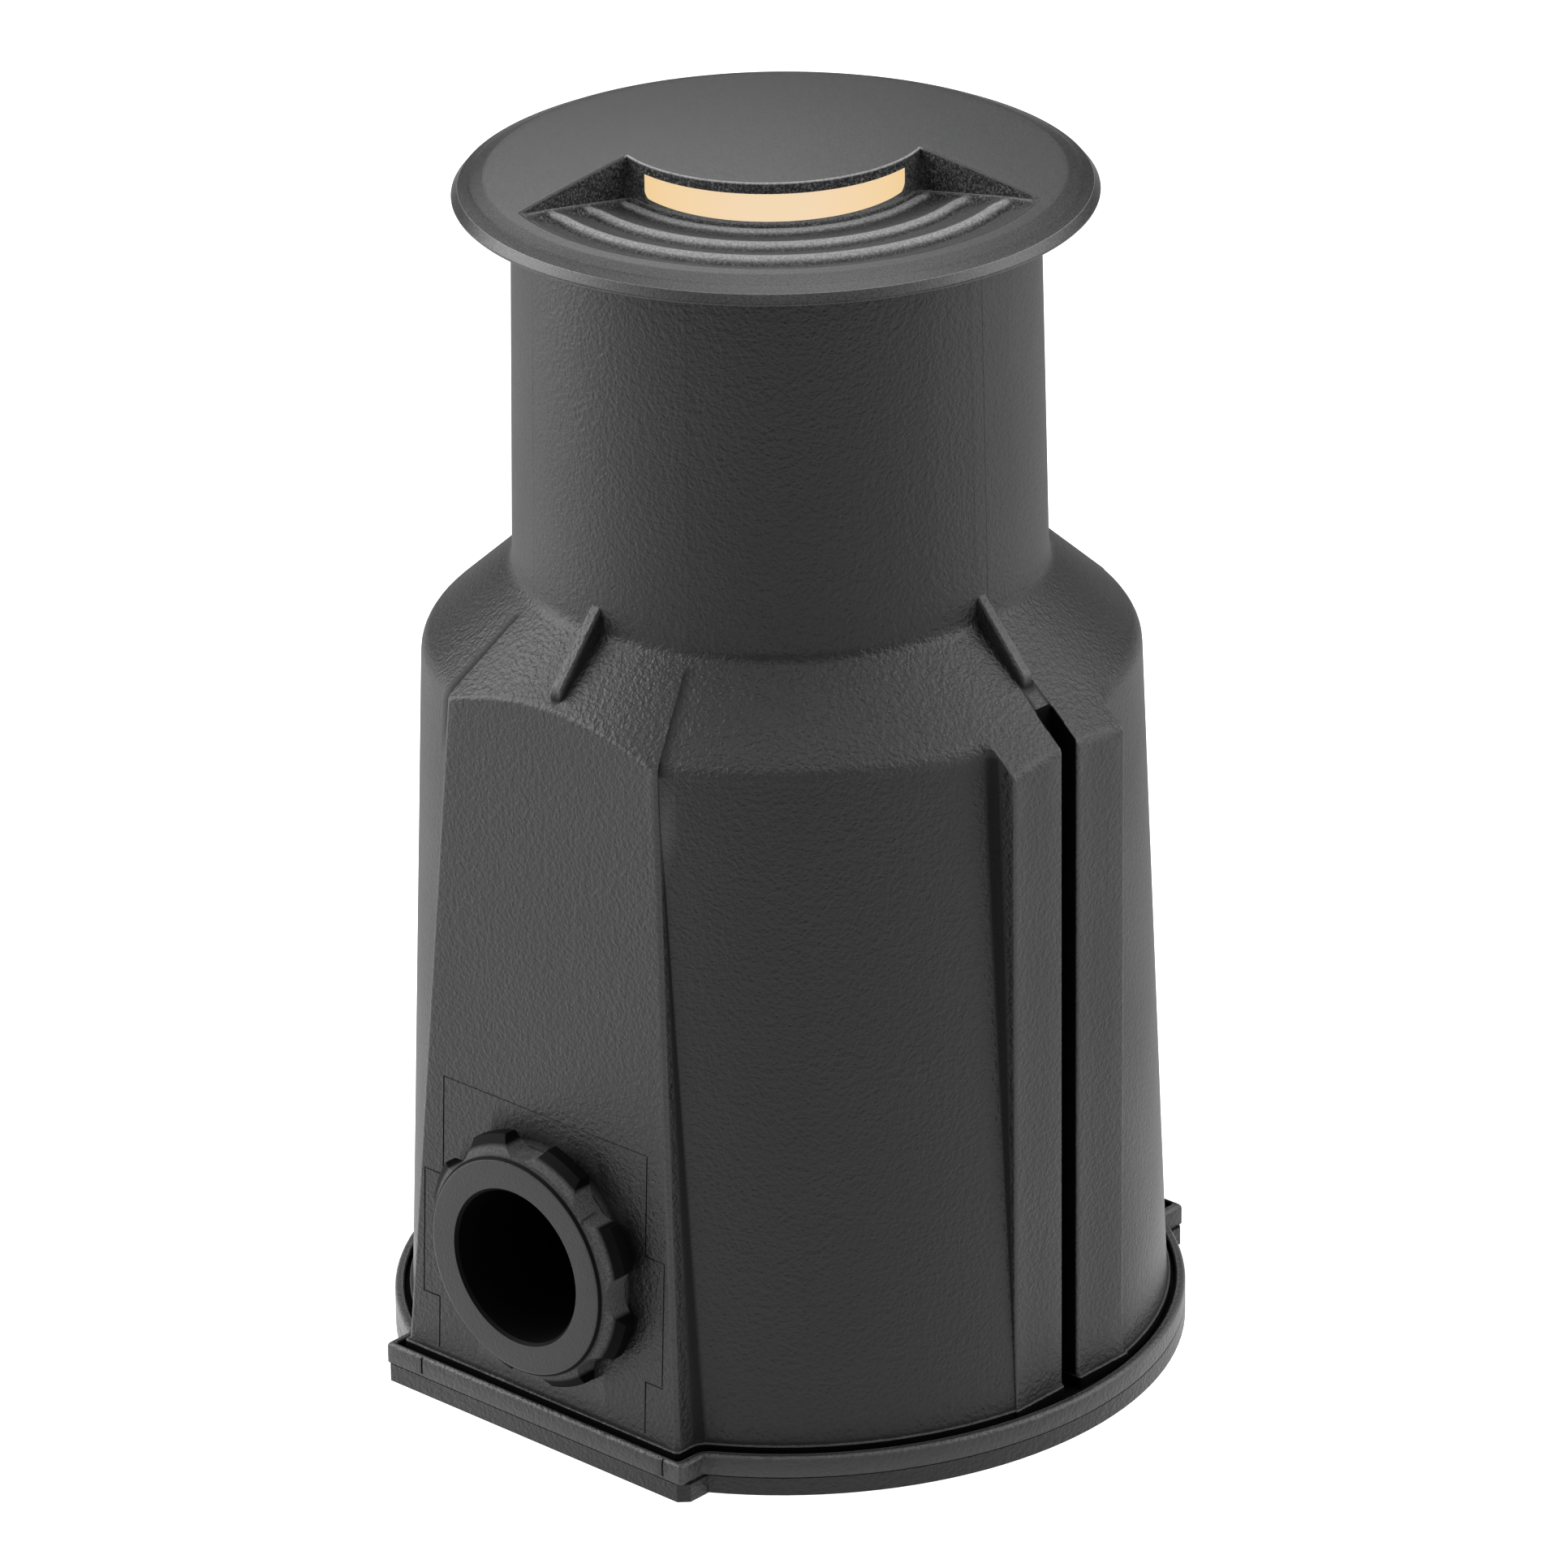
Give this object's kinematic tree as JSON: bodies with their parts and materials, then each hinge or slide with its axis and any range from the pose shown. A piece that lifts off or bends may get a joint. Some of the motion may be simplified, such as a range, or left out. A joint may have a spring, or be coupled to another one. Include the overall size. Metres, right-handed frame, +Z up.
{
  "type": "in ground well light",
  "caption": "Buried well light: a tapered ribbed housing with conduit bushings holds a liftable, turnable lamp insert whose domed faceplate has a glowing window in a scoop.",
  "frame": {"origin": "bottom centre of the foot, on the axis of the neck", "axes": "+Z up along the neck, the two conduit bushings look along -Y and +Y, the slotted bars along +X and -X"},
  "size_m": [0.1024, 0.1016, 0.158],
  "materials": {
    "black_moulding": "fine leather grain, satin",
    "bushing_plastic": "smooth satin",
    "seal_rubber": "matte",
    "bright_steel": "plain stainless",
    "coated_casting": "fine sand texture powder coat",
    "frosted_lens": "frosted, lit warm white",
    "white_reflector": "gloss white",
    "raw_casting": "die cast, unpainted",
    "board_white": "white solder mask",
    "phosphor": "yellow phosphor",
    "lead_insulation": "wire insulation",
    "board_green": "green solder mask",
    "component_sleeve": "moulded",
    "ferrite": "ferrite and enamelled wire",
    "potting_resin": "cast resin",
    "gland_nylon": "moulded nylon"
  },
  "bodies": {
    "well": {"housing": "black_moulding", "base_cover": "black_moulding", "base_gasket": "seal_rubber", "base_screws": "bright_steel", "rim_gasket": "seal_rubber"},
    "grip_rings": {"upper_o_ring": "seal_rubber", "lower_o_ring": "seal_rubber"},
    "light_unit": {"faceplate": "coated_casting", "window_lens": "frosted_lens", "lens_seal": "seal_rubber", "reflector": "white_reflector", "faceplate_gasket": "seal_rubber", "faceplate_screws": "bright_steel", "lamp_body": "raw_casting", "led_board": "board_white", "led_chips": "phosphor", "led_leads": "lead_insulation", "driver_board": "board_green", "board_screws": "bright_steel", "bulk_capacitor": "component_sleeve", "power_inductor": "ferrite", "bridge_rectifier": "component_sleeve", "driver_chip": "component_sleeve", "potting": "potting_resin", "cap_seal": "seal_rubber", "bottom_cap": "bushing_plastic", "cap_screws": "bright_steel", "cable_gland": "gland_nylon", "gland_locknut": "gland_nylon"},
    "front_seal": {"front_washer": "seal_rubber"},
    "front_entry": {"front_bushing": "bushing_plastic"},
    "rear_seal": {"rear_washer": "seal_rubber"},
    "rear_entry": {"rear_bushing": "bushing_plastic"}
  },
  "joints": [
    {"name": "lift_out", "type": "slide", "parent": "well", "child": "grip_rings", "axis": [0, 0, 1], "range_m": [0, 0.085]},
    {"name": "aim", "type": "hinge", "parent": "grip_rings", "child": "light_unit", "pos_m": [0, 0, 0.15], "axis": [0, 0, 1], "continuous": true},
    {"name": "front_seal_travel", "type": "slide", "parent": "well", "child": "front_seal", "axis": [0, -1, 0], "range_m": [0, 0.0091]},
    {"name": "front_bushing_turn", "type": "hinge", "parent": "front_seal", "child": "front_entry", "pos_m": [0, -0.046, 0.02535], "axis": [0, -1, 0], "range_deg": [0, 1080]},
    {"name": "rear_seal_travel", "type": "slide", "parent": "well", "child": "rear_seal", "axis": [0, 1, 0], "range_m": [0, 0.0091]},
    {"name": "rear_bushing_turn", "type": "hinge", "parent": "rear_seal", "child": "rear_entry", "pos_m": [0, 0.046, 0.02535], "axis": [0, 1, 0], "range_deg": [0, 1080]}
  ],
  "couplings": [
    {"joint": "front_seal_travel", "follows": "front_bushing_turn", "m_per_rad": 0.00047746},
    {"joint": "rear_seal_travel", "follows": "rear_bushing_turn", "m_per_rad": 0.00047746}
  ]
}
